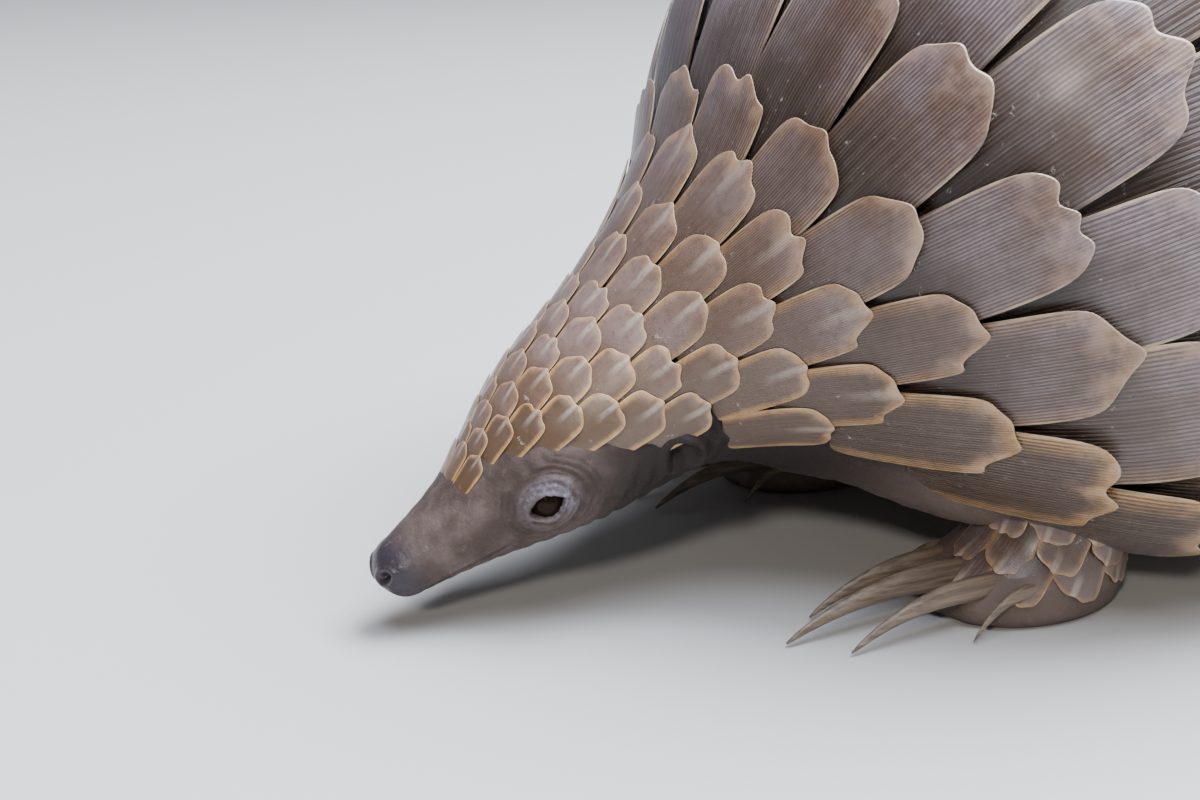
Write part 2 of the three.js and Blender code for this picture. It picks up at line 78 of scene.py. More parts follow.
# %% Sections along the spine
SECTIONS = [  # x, height, half width, height above and depth below the centre, squareness of the lower half
    (-352, 17, 9, 7, 8, 2),
    (-336, 25, 14.5, 12, 11, 2),
    (-314, 37, 24.5, 24, 17, 2),
    (-286, 54, 32.5, 32, 25, 2),
    (-264, 65.5, 49, 42, 48, 2.3),
    (-242, 75, 73, 60, 71, 2.8),
    (-216, 87, 92, 84, 86, 3.2),
    (-171, 99, 102.5, 101, 92, 3.3),
    (-109, 106, 109, 108, 96, 3.2),
    (-35, 113, 111, 110, 95, 3),
    (40, 117, 106, 105, 88, 2.7),
    (110, 110, 96, 90, 74, 2.4),
    (170, 94, 81, 66, 54, 2.1),
    (240, 74, 70, 45, 40, 2),
    (325, 56, 60, 31, 28, 2),
    (410, 43, 46, 21, 19, 2),
    (480, 35, 28, 12, 12, 2),
    (505, 33, 16, 7, 7, 2),
]
COLUMNS = dict(zip(("x", "z", "wide", "up", "down", "square"), np.array(SECTIONS, float).T))
LAST = len(SECTIONS) - 1
NOSE_CAP, TAIL_CAP = 8, 12
BELLY_DRAWN_IN = [(3.6, 0), (5, 0.22), (6, 0.27), (8, 0.25), (11, 0.2), (12.5, 0)]
BELLY_EDGE = (139, 157)


def ramp(table, at):
    places, values = zip(*table)
    return np.interp(at, places, values)


def smooth(low, high, v):
    f = np.clip((v - low) / (high - low), 0, 1)
    return f * f * (3 - 2 * f)


def spline(column, t):
    """A smooth value through the numbers of a column, by a Catmull-Rom spline."""
    last = len(column) - 1
    t = np.clip(t, 0, last)
    i = np.clip(np.floor(t).astype(int), 0, last - 1)
    f = t - i
    a, b, c, d = (column[np.clip(i + k, 0, last)] for k in (-1, 0, 1, 2))
    square = (2 * a - 5 * b + 4 * c - d) * f**2
    cube = (3 * b - a - 3 * c + d) * f**3
    return 0.5 * (2 * b + (c - a) * f + square + cube)


def through(key, t):
    return spline(COLUMNS[key], t)


def unit(v):
    return v / np.maximum(np.linalg.norm(v, axis=-1, keepdims=True), 1e-12)


# %% The outline
def outline(t, degrees):
    """Points of the outline at places t along the body and degrees round it, from the middle of the back."""
    t, degrees = np.broadcast_arrays(np.asarray(t, float), np.asarray(degrees, float))
    place = np.clip(t, 0, LAST)
    t0, t1 = np.clip(place - 1e-3, 0, LAST), np.clip(place + 1e-3, 0, LAST)
    dx, dz = through("x", t1) - through("x", t0), through("z", t1) - through("z", t0)
    length = np.hypot(dx, dz)
    dx, dz = dx / length, dz / length
    over = np.clip(abs(t - place), 0, 1) * math.pi / 2
    reach = np.where(t < 0, -NOSE_CAP, TAIL_CAP) * np.sin(over)
    c, s = np.cos(np.radians(degrees)), np.sin(np.radians(degrees))
    power = np.where(c < 0, through("square", place), 2)
    fill = np.cos(over) / (abs(c) ** power + abs(s) ** power) ** (1 / power)
    away = abs(np.degrees(np.arctan2(s, c)))
    drawn_in = 1 - ramp(BELLY_DRAWN_IN, place) * smooth(*BELLY_EDGE, away)
    height = np.where(c > 0, through("up", place), through("down", place)) * c * fill * drawn_in
    x = through("x", place) + dx * reach - dz * height
    z = through("z", place) + dz * reach + dx * height
    return np.stack([x, -through("wide", place) * s * fill, z], axis=-1)


def directions(t, degrees):
    """Unit vectors towards the tail, round the body, and out of it."""
    along = unit(outline(t + 4e-3, degrees) - outline(t - 4e-3, degrees))
    around = unit(outline(t, degrees + 0.23) - outline(t, degrees - 0.23))
    out = unit(np.cross(around, along))
    return along, np.cross(out, along), out


def raised(t, degrees, height):
    height = np.asarray(height, float)[..., None]
    return outline(t, degrees) + directions(t, degrees)[2] * height


def girth(t):
    return math.pi * (through("wide", t) + (through("up", t) + through("down", t)) / 2)


# The solids' origin is in the middle of their box, so the hind feet tell how far the sections are moved
HIND_FOOT_X = 81
feet = [sum(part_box(f"hindfoot_{side}"), Vector()) / 2 * 1000 for side in ("left", "right")]
SHIFT = np.array([feet[0].x - HIND_FOOT_X, (feet[0].y + feet[1].y) / 2, 0])
print("sections are moved by", SHIFT.round(2), "mm")

# %% [markdown]
# ## Making meshes
#
# Most pieces start as grids of points worked out with numpy. One helper turns points and faces into an object
# whose mesh already lies in its final place, in metres.


# %% Mesh helpers
def add_object(name, data):
    obj = bpy.data.objects.new(name, data)
    bpy.context.scene.collection.objects.link(obj)
    return obj


def shade_smooth(mesh):
    mesh.polygons.foreach_set("use_smooth", [True] * len(mesh.polygons))


def mesh_object(name, points, faces):
    """An object made from points in millimetres, moved to the frame and turned into metres."""
    mesh = bpy.data.meshes.new(name)
    placed = (np.asarray(points, float).reshape(-1, 3) + SHIFT) / 1000
    mesh.from_pydata(placed.tolist(), [], [list(map(int, f)) for f in faces])
    mesh.update()
    obj = add_object(name, mesh)
    shade_smooth(mesh)
    return obj


def tube_faces(rings, count, base=0):
    """Faces of a closed tube of rings with count points each, and a point at each end after them."""
    k = np.arange(count)
    n = (k + 1) % count
    faces = []
    for i in range(rings - 1):
        a, b = base + i * count + k, base + i * count + n
        faces += np.stack([a, b, b + count, a + count], axis=1).tolist()
    first, last = base + rings * count, base + rings * count + 1
    tail = base + (rings - 1) * count
    faces += [[first, base + b, base + a] for a, b in zip(k, n)]
    faces += [[last, tail + a, tail + b] for a, b in zip(k, n)]
    return faces


def tube_points(rings):
    """Points of a tube in the order that tube_faces expects."""
    rings = np.asarray(rings)
    ends = [rings[0].mean(axis=0), rings[-1].mean(axis=0)]
    return np.concatenate([rings.reshape(-1, 3), ends])


def outwards(obj):
    made = bmesh.new()
    made.from_mesh(obj.data)
    bmesh.ops.recalc_face_normals(made, faces=made.faces)
    made.to_mesh(obj.data)
    made.free()
    return obj


def store(obj, name, values):
    attribute = obj.data.attributes.new(name, "FLOAT", "POINT")
    attribute.data.foreach_set("value", np.asarray(values, np.float32).ravel())


def loop_vertices(mesh):
    return np.array([loop.vertex_index for loop in mesh.loops])


def plain(obj):
    """The evaluated object as a plain mesh, with its modifiers gone."""
    bpy.context.view_layer.update()
    mesh = bpy.data.meshes.new_from_object(obj.evaluated_get(bpy.context.evaluated_depsgraph_get()))
    obj.modifiers.clear()
    obj.data = mesh
    return obj


# %% [markdown]
# ## Where the scales grow
#
# The scales stand in rings, each ring set half a step round from the one before, like roof tiles. The rings
# crowd together as the body gets thinner. Their places are worked out once, both for the skin, which is drawn
# in below the scales, and for the scales themselves.

# %% Rings of scales
SCALE_REACH = [
    (1.05, 26), (1.4, 38), (1.8, 50), (1.95, 52), (2.05, 62), (2.28, 73), (2.5, 86), (2.8, 88),
    (3, 109), (3.35, 110), (4, 124), (5, 138), (11, 140), (12, 156), (13, 180),
]
CORE_SINK = 0.1  # how deep the skin lies below the scales, as a share of a scale's width
COVERED_FROM = (1.23, 2.06)  # the stretch of the head over which the skin sinks to that depth
STRIDE = 5e-3  # of the walk along the body that measures the distance from ring to ring


class Coat:
    """A run of rings of scales, which stand step degrees apart round the body."""

    def __init__(self, start, end, step, spacing):
        self.step = step
        self.places = []
        t = start
        while t < end:
            self.places.append(t)
            left = spacing(t, self.width(t))
            while left > 0 and t < LAST:
                dx = through("x", t + STRIDE) - through("x", t)
                dz = through("z", t + STRIDE) - through("z", t)
                left -= math.hypot(dx, dz)
                t += STRIDE

    def width(self, t):
        return girth(t) * self.step / 360

    def at(self, ring):
        """The place of a ring, which may lie between two rings or past the ends."""
        i = min(max(math.floor(ring), 0), len(self.places) - 2)
        return self.places[i] + (self.places[i + 1] - self.places[i]) * (ring - i)


TAIL_START = 12.05
TAIL_SPACING = (38, 25)  # millimetres between rings, at the root and at the tip


def tail_spacing(t, width):
    wide, narrow = TAIL_SPACING
    return wide + (narrow - wide) * (t - TAIL_START) / (LAST - TAIL_START)


TRUNK = Coat(1.05, 11.8, 24, lambda t, width: width * 0.72)
TAIL = Coat(TAIL_START, 16.8, 40, tail_spacing)
print(len(TRUNK.places), "rings on the trunk and", len(TAIL.places), "on the tail")


def sunk(t, degrees):
    """How far the skin lies below the outline, in millimetres, to leave room for the scales."""
    step = np.where(t < TAIL_START, TRUNK.step, TAIL.step)
    inside = smooth(-4, 8, ramp(SCALE_REACH, t) - degrees)
    return smooth(*COVERED_FROM, t) * inside * CORE_SINK * girth(t) * step / 360


# %% [markdown]
# ## The face
#
# The bare face has what makes the animal look alive: thick wrinkled lids round a small dark eye, a low fold
# of skin behind the ear opening, a soft line of the mouth, and two nostrils in a moist nose pad. Each of
# them is a small rise or hollow of the skin. The skin's grid is made very fine there, and a height is added
# at every point, measured from the middle of the feature in the directions along and round the head.

# %% Heights on the face
EYE_T, EYE_DEG, EYE_RADIUS, EYE_SUNK = 1.64, 83, 4.5, 2.5
EAR_T, EAR_DEG = 2.66, 107
NOSTRIL_T, NOSTRIL_DEG = -0.62, 62
MOUTH = ((-0.42, 142), (1.15, 112))  # place and angle of the mouth's front and of its corner


def local(points, t, degrees, side):
    """Where points lie from a place on the head: millimetres along it, up round it, and out of it."""
    along, across, out = directions(t, degrees * side)
    away = points - outline(t, degrees * side)
    return away @ along, (away @ across) * side, away @ out


def within(x, y, out, radius, depth):
    return (np.hypot(x, y) < radius) & (abs(out) < depth)


def bump(distance, width):
    return np.exp(-((distance / width) ** 2))


def eye_height(x, y):
    """The lids: a raised almond ring with folds round it, and a hole that the eyeball fills."""
    almond = np.sqrt((x / 4.3) ** 2 + (y / (2.5 * np.clip(1 - (abs(x) / 7.5) ** 1.6, 0.25, 1))) ** 2)
    bulge = 2.6 * np.sqrt(np.clip(1 - (x / 8.6) ** 2 - (y / 6.8) ** 2, 0, 1))
    rim = 0.45 * bump(almond - 1.22, 0.18)
    around = np.sqrt((x / 1.25) ** 2 + y**2)
    folds = 0.28 * np.sin(around * 4.6 + 0.5 * np.sin(x * 0.9)) * smooth(3.4, 4.6, around)
    folds = folds * (1 - smooth(8, 13, around))
    crease = -0.7 * bump(almond - 1.72, 0.14) * smooth(-1.5, 1.5, -y)
    lid = bulge + rim + folds + crease
    return np.where(almond < 1, -2.5, lid), almond


def ear_height(x, y):
    """The ear: an upright opening with a soft rolled edge that is highest behind it."""
    around = np.hypot(x, y)
    behind = smooth(-0.6, 0.9, x / np.maximum(around, 1e-6))
    fold = (0.5 + 2.1 * behind) * bump(around - 5.1, 1.35)
    second = 0.6 * behind * bump(around - 8.6, 1.1)
    hole = -3.2 * bump(np.hypot(x / 2.4, (y - 1.4) / 2.8), 0.9)
    return fold + second + hole


def nostril_height(x, y):
    hole = -2.1 * bump(np.hypot(x / 2.1, y / 1.15), 0.85)
    wing = 0.55 * bump(np.hypot(x / 2.9, y / 2) - 1.05, 0.3)
    return hole + wing


def mouth_height(t, degrees):
    """The mouth: a narrow line with soft lips, from under the chin to a corner below the eye."""
    (front, low), (corner, high) = MOUTH
    jaw = np.clip((t - front) / (corner - front), 0, 1)
    line = low + (high - low) * jaw
    off = (degrees - line) * girth(np.clip(t, 0, LAST)) / 360
    fade = smooth(-0.75, -0.35, t) * (1 - smooth(1.05, 1.25, t))
    return fade * (-0.95 * bump(off, 0.42) + 0.5 * bump(off + 1.3, 0.8) + 0.35 * bump(off - 1.2, 0.8))


def wrinkles(t, degrees, points):
    """Fine folds across the cheek and throat, and shallow ones along the snout."""
    x, y, z = points.T
    drift = 0.8 * np.sin(x * 0.21 + z * 0.13) + 0.6 * np.sin(y * 0.3 - x * 0.17)
    across = np.sin(x * 1.35 + 0.55 * np.sin(degrees * 0.11) + drift)
    fine = np.sin(x * 2.9 - z * 0.7 + 2 * drift) * np.sin(z * 2.3 + y * 1.1)
    cheek = smooth(0.9, 2.2, t) * (1 - smooth(3.8, 5, t)) * smooth(70, 105, degrees)
    snout = smooth(-0.2, 0.6, t) * (1 - smooth(1.2, 2, t))
    return cheek * (0.22 * across + 0.08 * fine) + snout * (0.06 * across + 0.05 * fine)


# %% [markdown]
# ## The skin
#
# On the animal one hide runs from the nose over the belly to the tail, and it shows on the face, the throat,
# the belly and the feet. One closed grid is wrapped along the body, finest round the face. It follows the
# outline of the solids, drawn in a little below the scales so that they sit in it and not on it.


# %% Skin of the body
def graded(stops):
    """Places from the first to the last stop, each stretch with a number of equal steps."""
    parts = [np.linspace(a, b, n, endpoint=False) for (a, n), (b, _) in zip(stops, stops[1:])]
    return np.append(np.concatenate(parts), stops[-1][0])


SKIN_SINK = 0.25  # how far the skin lies inside the solids where it is bare, in millimetres
FAR = 9.0  # the distance from an eye, in almonds, at which its lids have no more effect
ALONG = graded([(-0.985, 26), (-0.3, 34), (1.2, 52), (2.05, 30), (2.4, 30), (3, 24), (4.5, 40), (12, 36),
                (17.97, 0)])
half_round = graded([(0, 14), (60, 58), (125, 26), (180, 0)])
ROUND = np.concatenate([half_round, -half_round[-2:0:-1]])
t_grid, deg_grid = (g.ravel() for g in np.meshgrid(ALONG, ROUND, indexing="ij"))
away_deg = abs(deg_grid)
base = outline(t_grid, deg_grid)
height = -sunk(t_grid, away_deg) - SKIN_SINK
almond = np.full(len(base), FAR)
for side in SIDES.values():
    x, y, out = local(base, EYE_T, EYE_DEG, side)
    near = within(x, y, out, 15, 9)
    lids, shape = eye_height(x, y)
    height = np.where(near, height * (1 - bump(np.hypot(x, y), 9)) + lids, height)
    almond = np.where(near, shape, almond)
    x, y, out = local(base, EAR_T, EAR_DEG, side)
    height += np.where(within(x, y, out, 13, 9), ear_height(x, y), 0)
    x, y, out = local(base, NOSTRIL_T, NOSTRIL_DEG, side)
    height += np.where(within(x, y, out, 7, 5), nostril_height(x, y), 0)
height += mouth_height(t_grid, away_deg) + wrinkles(t_grid, away_deg, base) * smooth(1, 1.6, almond)
body_points = base + directions(t_grid, deg_grid)[2] * height[:, None]
body_rings = body_points.reshape(len(ALONG), len(ROUND), 3)
body = mesh_object("body_skin", tube_points(body_rings), tube_faces(len(ALONG), len(ROUND)))
outwards(body)
print("body skin has", len(body.data.polygons), "faces")

# %% [markdown]
# ## Legs and feet
#
# The legs are short pillars that end in a padded foot. The fore foot has five toes in front, and the hind
# foot is a rounded block like an elephant's, with nails at its edge. Level sections are joined by smooth
# curves, and bulges for the toes are added round the front of the lowest ones. A union with the body makes
# one hide.

# %% Legs
LEGS = {
    "fore": [(-170, 46, 82, 33, 22), (-176, 47, 62, 30, 21), (-184, 49, 44, 26, 20), (-194, 50, 30, 22, 19),
             (-200, 50, 18, 20, 18), (-206, 50, 10, 26, 20), (-208, 50, 3, 27, 20), (-208, 50, 0, 24, 17.5)],
    "hind": [(60, 46, 118, 44, 25), (64, 50, 98, 44, 27), (70, 54, 70, 38, 27), (78, 57, 45, 30, 25),
             (84, 58, 28, 26, 22), (86, 58, 16, 26, 21), (82, 58, 10, 31, 24), (81, 58, 3, 32, 24),
             (81, 58, 0, 29, 21)],
}
CLAWS = {  # place across the foot, length, half height at the root; the first is the inner one
    "fore": [(-15, 15, 2.6), (-9, 34, 4.2), (0, 44, 4.8), (9.5, 36, 4.2), (16, 14, 2.6)],
    "hind": [(-18, 10, 3.2), (-10, 13, 4), (0, 14, 4.2), (10, 13, 4), (18, 10, 3.2)],
}
CLAW_FORM = {"fore": (13, 0.12, 0.12), "hind": (9.5, 0.3, 0.5)}  # bend's height, spread, share at the tip
LEG_COLUMNS = 72
TOE_WIDTH, TOE_SWELL = 3.4, 3.6


def leg_points(kind, side):
    """Rings of points down a leg, with toes bulging round each claw and folds above the foot."""
    rows = np.array(LEGS[kind], float)
    places = graded([(0, 4 * (len(rows) - 3)), (len(rows) - 3, 12), (len(rows) - 1, 0)])
    x, y, z, along, across = (spline(column, places) for column in rows.T)
    turn = np.linspace(0, 2 * math.pi, LEG_COLUMNS, endpoint=False)
    rings = []
    for k in range(len(places)):
        sideways = across[k] * np.sin(turn)
        toes = sum(bump(sideways - a, TOE_WIDTH) for a, _, _ in CLAWS[kind])
        front = smooth(0.05, 0.6, -np.cos(turn)) * smooth(26, 12, z[k]) * smooth(-2, 5, z[k])
        fold = 0.35 * np.sin(z[k] * 1.1 + np.sin(turn * 3)) * smooth(10, 16, z[k])
        swell = front * (toes - 0.7) * TOE_SWELL + fold - SKIN_SINK
        px = x[k] + (along[k] + swell) * np.cos(turn)
        py = -side * (y[k] + (across[k] + 0.4 * swell) * np.sin(turn))
        rings.append(np.stack([px, py, np.full(LEG_COLUMNS, max(z[k], 0))], axis=1))
    return np.array(rings)


legs = []
for kind in LEGS:
    for side in SIDES.values():
        rings = leg_points(kind, side)
        leg = mesh_object(f"{kind}_leg", tube_points(rings), tube_faces(len(rings), rings.shape[1]))
        legs.append(outwards(leg))
for leg in legs:
    union = body.modifiers.new("leg", "BOOLEAN")
    union.operation, union.solver, union.object = "UNION", "EXACT", leg
joined = plain(body).data
shade_smooth(joined)
for leg in legs:
    bpy.data.objects.remove(leg)
print("the whole skin has", len(joined.polygons), "faces")

# %% [markdown]
# ## Colour of the hide
#
# The hide is grey-brown, nearly black and moist on the nose, with pale bluish skin round the eye. The cheek
# below the scales is darkened by painted shade, and a painted shadow fills each ear opening. Each colour's
# place is worked out from the vertices and kept in an attribute. The material mixes its colours by these, and
# its fine grain comes from noise in space.

# %% Attributes of the hide
skin_points = np.array([v.co for v in joined.vertices]) * 1000 - SHIFT
nose_x = skin_points[:, 0] + 0.4 * skin_points[:, 2]
store(body, "nose", smooth(-340, -349, nose_x))
eye_ring = np.zeros(len(skin_points))
ear_hole_shade = np.zeros(len(skin_points))
for side in SIDES.values():
    x, y, out = local(skin_points, EYE_T, EYE_DEG, side)
    ring = 1 - smooth(3.8, 7.4, np.sqrt((x / 1.3) ** 2 + y**2 + out**2 * 0.3))
    eye_ring = np.maximum(eye_ring, ring * (0.35 + 0.65 * smooth(-3, 3, x + y)))
    # a painted shadow that fills the ear opening
    x, y, out = local(skin_points, EAR_T, EAR_DEG, side)
    ear_hole_shade = np.maximum(ear_hole_shade, bump(np.hypot(x, y), 3.4))
store(body, "eye_ring", eye_ring)
store(body, "ear_hole_shade", ear_hole_shade)
store(body, "belly", smooth(60, 20, skin_points[:, 2]) * smooth(-262, -235, skin_points[:, 0]))
# where the cheek gets painted shade, from under the overhanging scales
store(body, "cheek", smooth(-322, -300, skin_points[:, 0]) * smooth(-225, -250, skin_points[:, 0]))
print("the hide has attributes at", len(skin_points), "points")

# %% [markdown]
# ## Writing materials
#
# A material is a small network of nodes. A few helpers keep each network short: one adds a node and sets its
# inputs, one mixes two colours, and one spreads a value over a range.


# %% Material helpers
class Finish:
    """A material under construction, with its Principled shader."""

    def __init__(self, name):
        self.material = bpy.data.materials.new(name)
        self.material.use_nodes = True
        self.tree = self.material.node_tree
        self.shader = self.tree.nodes["Principled BSDF"]

    def node(self, kind, inputs=(), **settings):
        made = self.tree.nodes.new(kind)
        for key, value in settings.items():
            setattr(made, key, value)
        for key, value in dict(inputs).items():
            self.give(made.inputs[key], value)
        return made

    def give(self, socket, value):
        if isinstance(value, bpy.types.NodeSocket):
            self.tree.links.new(value, socket)
        else:
            socket.default_value = value

    def attribute(self, name):
        return self.node("ShaderNodeAttribute", attribute_name=name).outputs["Fac"]

    def noise(self, vector, scale, detail=4, rough=0.55, distortion=0):
        inputs = {"Vector": vector, "Scale": scale, "Detail": detail}
        inputs |= {"Roughness": rough, "Distortion": distortion}
        return self.node("ShaderNodeTexNoise", inputs).outputs["Fac"]

    def math(self, operation, a, b=0.0):
        return self.node("ShaderNodeMath", {0: a, 1: b}, operation=operation).outputs[0]

    def plus(self, a, b):
        return self.math("ADD", a, b)

    def minus(self, a, b):
        return self.math("SUBTRACT", a, b)

    def times(self, a, b):
        return self.math("MULTIPLY", a, b)

    def spread(self, value, low, high, to_low=0.0, to_high=1.0):
        inputs = {"Value": value, "From Min": low, "From Max": high}
        inputs |= {"To Min": to_low, "To Max": to_high}
        return self.node("ShaderNodeMapRange", inputs, interpolation_type="SMOOTHSTEP").outputs["Result"]

    def mix(self, factor, a, b):
        made = self.node("ShaderNodeMix", {0: factor}, data_type="RGBA")
        self.give(made.inputs[6], a)
        self.give(made.inputs[7], b)
        return made.outputs[2]

    def bump(self, height, strength, distance, under=None):
        inputs = {"Height": height, "Strength": strength, "Distance": distance}
        made = self.node("ShaderNodeBump", inputs)
        if under is not None:
            self.give(made.inputs["Normal"], under)
        return made.outputs["Normal"]

    def end(self, **sockets):
        """Give the shader its values; their names have _ for each space of a socket's name."""
        for key, value in sockets.items():
            self.give(self.shader.inputs[key.replace("_", " ")], value)
        return self.material


def rgb(r, g, b):
    return (r, g, b, 1.0)


# %% Hide
hide = Finish("hide")
place = hide.node("ShaderNodeTexCoord").outputs["Object"]
blotches = hide.noise(place, 90, 5, 0.6)
grain = hide.noise(place, 900, 3, 0.6)
pores = hide.node("ShaderNodeTexVoronoi", {"Vector": place, "Scale": 900}, feature="DISTANCE_TO_EDGE")
colour = hide.mix(hide.spread(blotches, 0.35, 0.7), rgb(0.050, 0.033, 0.027), rgb(0.115, 0.083, 0.074))
# painted shade: the cheek under the overhanging scales is darkened nearly to black
colour = hide.mix(hide.attribute("cheek"), colour, rgb(0.016, 0.010, 0.008))
colour = hide.mix(hide.times(hide.attribute("belly"), 0.6), colour, rgb(0.15, 0.11, 0.09))
ring_colour = hide.mix(hide.spread(grain, 0.3, 0.7), rgb(0.085, 0.072, 0.088), rgb(0.22, 0.195, 0.24))
pale = hide.times(hide.attribute("eye_ring"), hide.spread(hide.noise(place, 300, 4), 0.35, 0.6))
colour = hide.mix(pale, colour, ring_colour)
colour = hide.mix(hide.attribute("nose"), colour, rgb(0.035, 0.027, 0.034))
# painted shadow: the ear opening is darkened nearly to black
colour = hide.mix(hide.attribute("ear_hole_shade"), colour, rgb(0.012, 0.007, 0.006))
dust = hide.spread(hide.noise(place, 420, 6, 0.7), 0.56, 0.75, 0, 0.3)
# less dust on the cheek, so that its painted shade stays dark
dust = hide.times(dust, hide.spread(hide.attribute("cheek"), 0, 1, 1, 0.15))
colour = hide.mix(dust, colour, rgb(0.28, 0.20, 0.155))
roughness = hide.spread(hide.attribute("nose"), 0, 1, 0.62, 0.28)
normal = hide.bump(pores.outputs["Distance"], 0.35, 0.0003)
normal = hide.bump(grain, 0.35, 0.0004, normal)
HIDE = hide.end(
    Base_Color=colour, Roughness=roughness, Normal=normal, Specular_IOR_Level=0.3,
    Subsurface_Weight=0.05, Subsurface_Radius=(0.002, 0.001, 0.0008),
)
joined.materials.clear()
joined.materials.append(HIDE)
print("the hide's material has", len(HIDE.node_tree.nodes), "nodes")

# %% [markdown]
# ## The shape of a scale
#
# A scale is a thin shield of horn. Its root is hidden below its neighbours, its sides diverge to two broad
# corners, and its free edge is worn into a blunt, notched fan. A grid of few faces is bent into this shape:
# the rows run from the root to the free edge, so the last row is the whole free edge and can be notched by
# moving its points. A handful of differently worn shields is enough, as each is placed at its own size.

# %% Worn shields
COLUMNS_ACROSS, ROWS_DOWN = 8, 3
THICK = 0.045
CORNER = 0.79  # where the broad corners are, as a share of the length
WEAR = [  # how blunt the free edge is, how short it is worn, how deep its notches are, how long its point is
    (2.1, 0.00, 0.025, 0.03), (2.4, 0.02, 0.040, 0), (3.0, 0.04, 0.035, 0.02), (2.2, 0.02, 0.065, 0.04),
    (3.2, 0.05, 0.055, 0), (2.0, 0.01, 0.035, 0.05), (2.6, 0.06, 0.075, 0.02), (2.3, 0.00, 0.030, 0.05),
    (2.8, 0.03, 0.050, 0.04), (2.1, 0.04, 0.060, 0.01),
]


def shield(number, blunt, short, notch, point):
    """One scale, with x across it and y from root to tip, both about 1 long, and z out of the body."""
    rng = np.random.default_rng(40 + number)
    u = np.linspace(-1, 1, COLUMNS_ACROSS + 1)
    v = np.linspace(0, 1, ROWS_DOWN + 1) ** 0.9
    free = 1 - short - (1 - short - CORNER) * abs(u) ** blunt
    free += point * bump(u - 0.1 * rng.standard_normal(), 0.2)
    free[1:-1] -= notch * rng.random(COLUMNS_ACROSS - 1) ** 2 * 2.2
    free += 0.02 * rng.standard_normal() * u
    rows = []
    for down in v:
        half = 0.42 + 0.07 * smooth(-0.1, 0.7, down)
        y = -0.02 * (1 - u**2) * (1 - down) + down * free
        z = 0.012 * (1 - u**2) * math.sin(math.pi * down)
        rows.append(np.stack([u * half, y, np.broadcast_to(z, u.shape)], axis=1))
    top = np.array(rows)
    under = top.copy()
    edge = np.minimum(1 - abs(u)[None, :], (1 - v)[:, None])
    under[..., 2] -= THICK * (0.5 + 0.5 * np.clip(edge * 4, 0, 1))
    points = np.concatenate([top.reshape(-1, 3), under.reshape(-1, 3)])
    uv = np.stack(np.meshgrid((u + 1) / 2, v), axis=-1).reshape(-1, 2)
    return points, np.concatenate([uv, uv])


def shield_faces():
    wide, tall = COLUMNS_ACROSS + 1, ROWS_DOWN + 1
    lower = wide * tall
    faces = []
    for r in range(ROWS_DOWN):
        for c in range(COLUMNS_ACROSS):
            a = r * wide + c
            faces.append([a, a + 1, a + wide + 1, a + wide])
            faces.append([lower + i for i in (a + wide, a + wide + 1, a + 1, a)])
    border = list(range(wide)) + [r * wide + wide - 1 for r in range(1, tall)]
    border += list(range(lower - 2, lower - wide - 1, -1)) + [r * wide for r in range(tall - 2, 0, -1)]
    for a, b in zip(border, border[1:] + border[:1]):
        faces.append([b, a, lower + a, lower + b])
    return faces


shields = bpy.data.collections.new("worn shields")
bpy.context.scene.collection.children.link(shields)
for number, wear in enumerate(WEAR):
    points, uv = shield(number, *wear)
    mesh = bpy.data.meshes.new(f"shield_{number}")
    mesh.from_pydata(points.tolist(), [], shield_faces())
    shade_smooth(mesh)
    mesh.uv_layers.new(name="Shield").data.foreach_set("uv", uv[loop_vertices(mesh)].ravel())
    worn_shield = bpy.data.objects.new(f"shield_{number}", mesh)
    store(worn_shield, "across", uv[:, 0] * 2 - 1)
    store(worn_shield, "down", points[:, 1])
    shields.objects.link(worn_shield)
print(len(WEAR), "shields of", len(mesh.polygons), "faces each")

# %% [markdown]
# ## Setting the scales on the body
#
# Geometry Nodes put a shield on every point of a cloud. The points carry what each scale needs: which worn
# shield it is, how it is turned, and its width, length and thickness. Every scale has its own tilt and size,
# drawn from seeded random numbers. After the instances are realized, the tree bends each scale round the body
# by its own bow and arch, which the points carry too. That fits a flat shield to a round flank.


# %% Points for the scales
ROOT_LIFT, TIP_LIFT = -0.05, 0.105  # of a scale over the outline, as shares of its width
ROOT_AT, CORNERS_AT, TIP_AT = -0.1, 1.02, 2.14  # where these lie, in rings behind the scale's own
HALF_WIDTH = 0.49  # from the middle of a scale to a corner, as a share of the step round the body
SHIELD_WIDTH = 0.98  # of a shield that isn't scaled
TWIST = 0.018  # radians by which a scale is usually turned out of line


def placed_shield(root, tip, left, right, middle, width, rng, **looks):
    """What a point of the cloud carries, from where a scale's root, tip, broad corners and middle lie."""
    down = unit(tip - root)
    across = unit(right - left)
    out = unit(np.cross(across, down))
    across = np.cross(down, out)
    turned = Matrix(np.stack([across, down, out], axis=1).tolist())
    turned = turned @ Matrix.Rotation(rng.normal(0, TWIST), 3, "Z")
    wide = np.linalg.norm(left - right) / SHIELD_WIDTH
    return {
        "co": root,
        "turn": turned.to_euler()[:],
        "size": [wide / 1000, np.linalg.norm(tip - root) / 1000, width / 1000],
        "out": out,
        "bow": (middle - (left + right) / 2) @ out / 1000,
        "arch": (middle - (root + tip) / 2) @ out / 1000,
        "shape": int(rng.integers(len(WEAR))),
        "tone": rng.random(),
        "small": float(smooth(19, 9, width)),
        **looks,
    }


